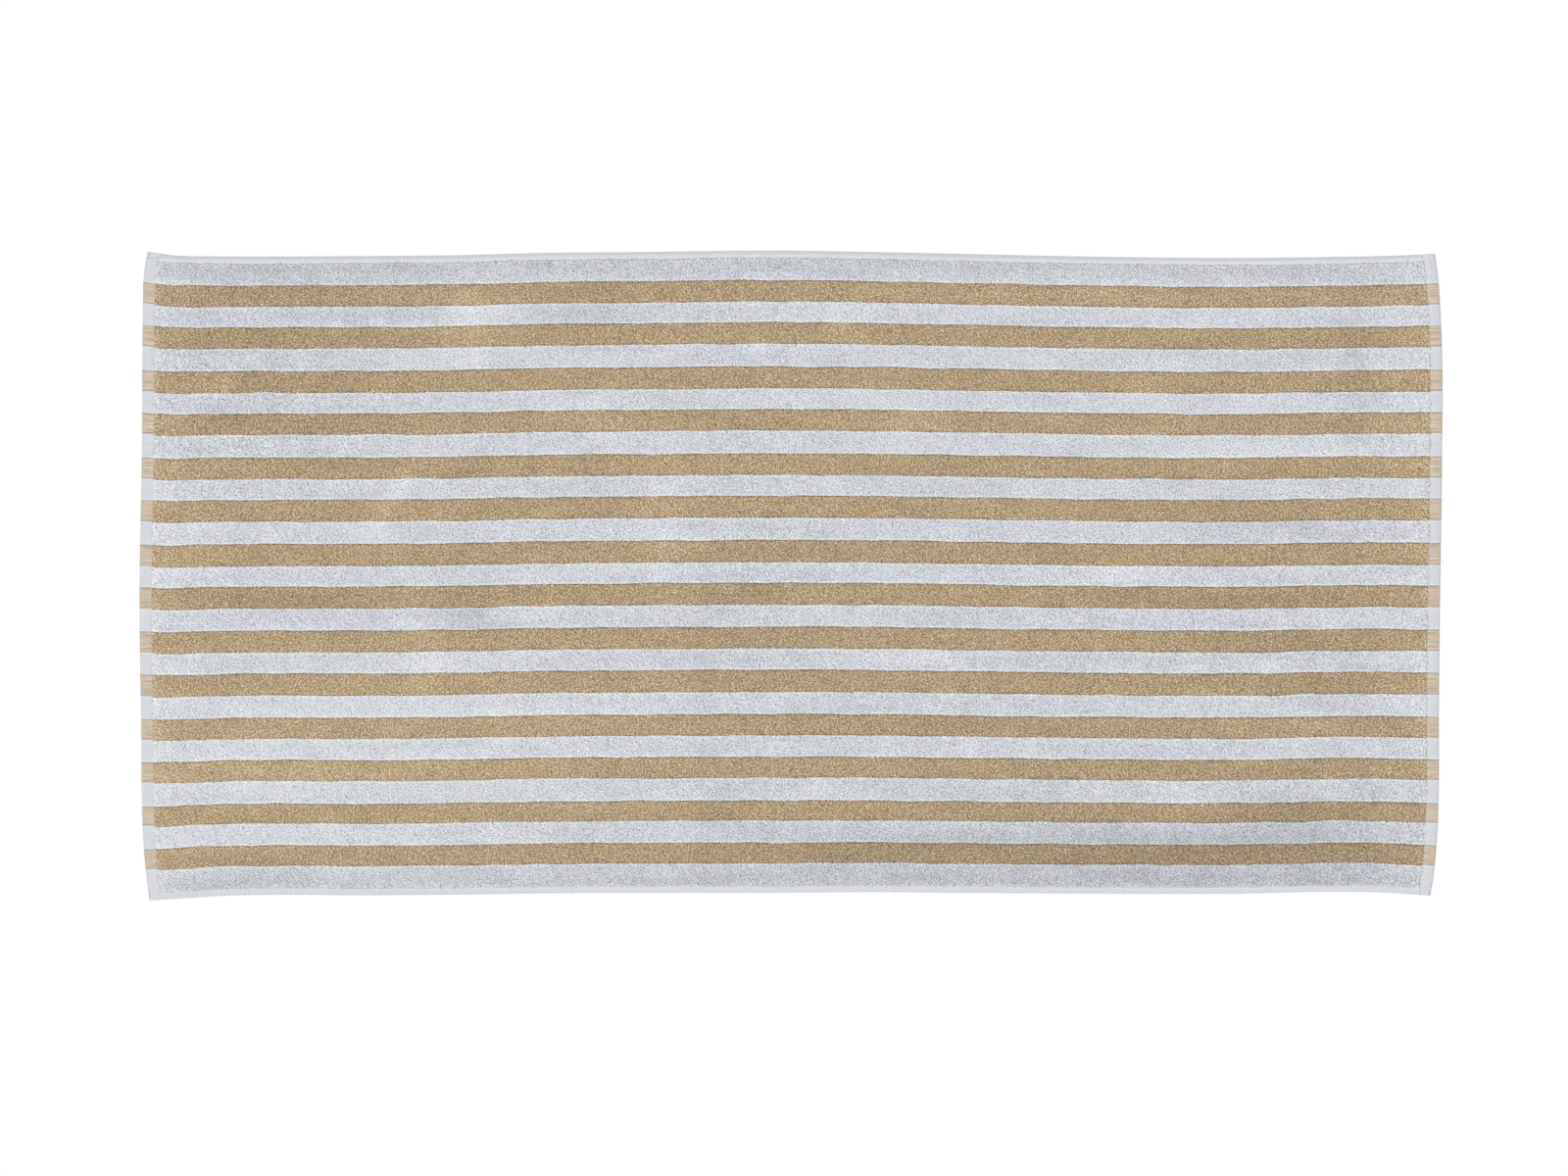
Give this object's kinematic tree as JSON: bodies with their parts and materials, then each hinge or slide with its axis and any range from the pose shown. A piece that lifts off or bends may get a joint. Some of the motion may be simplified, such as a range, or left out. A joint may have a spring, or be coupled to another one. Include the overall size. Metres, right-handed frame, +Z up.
{
  "type": "bath towel",
  "caption": "Striped terry bath towel laid out flat, with loop pile on both faces and narrow flat-woven hems on all sides.",
  "frame": {"origin": "on the surface the towel lies on, under the middle of its outline", "axes": "+X along the towel and its stripes, +Y across it, +Z up through the cloth"},
  "size_m": [1.4028, 0.6994, 0.0045],
  "materials": {
    "terry": "looped cotton terry, matt, striped in sand and pale bluish white, seen as one mean colour",
    "white_pile": "pale bluish white cotton loops, matt",
    "tan_pile": "sand coloured cotton loops, matt",
    "hem": "flat-woven cotton hem without loops, matt, the stripes running on through it in fine lines",
    "thread": "pale sewing thread of the hems' stitch rows"
  },
  "bodies": {
    "root": {"towel": "terry"}
  },
  "joints": []
}
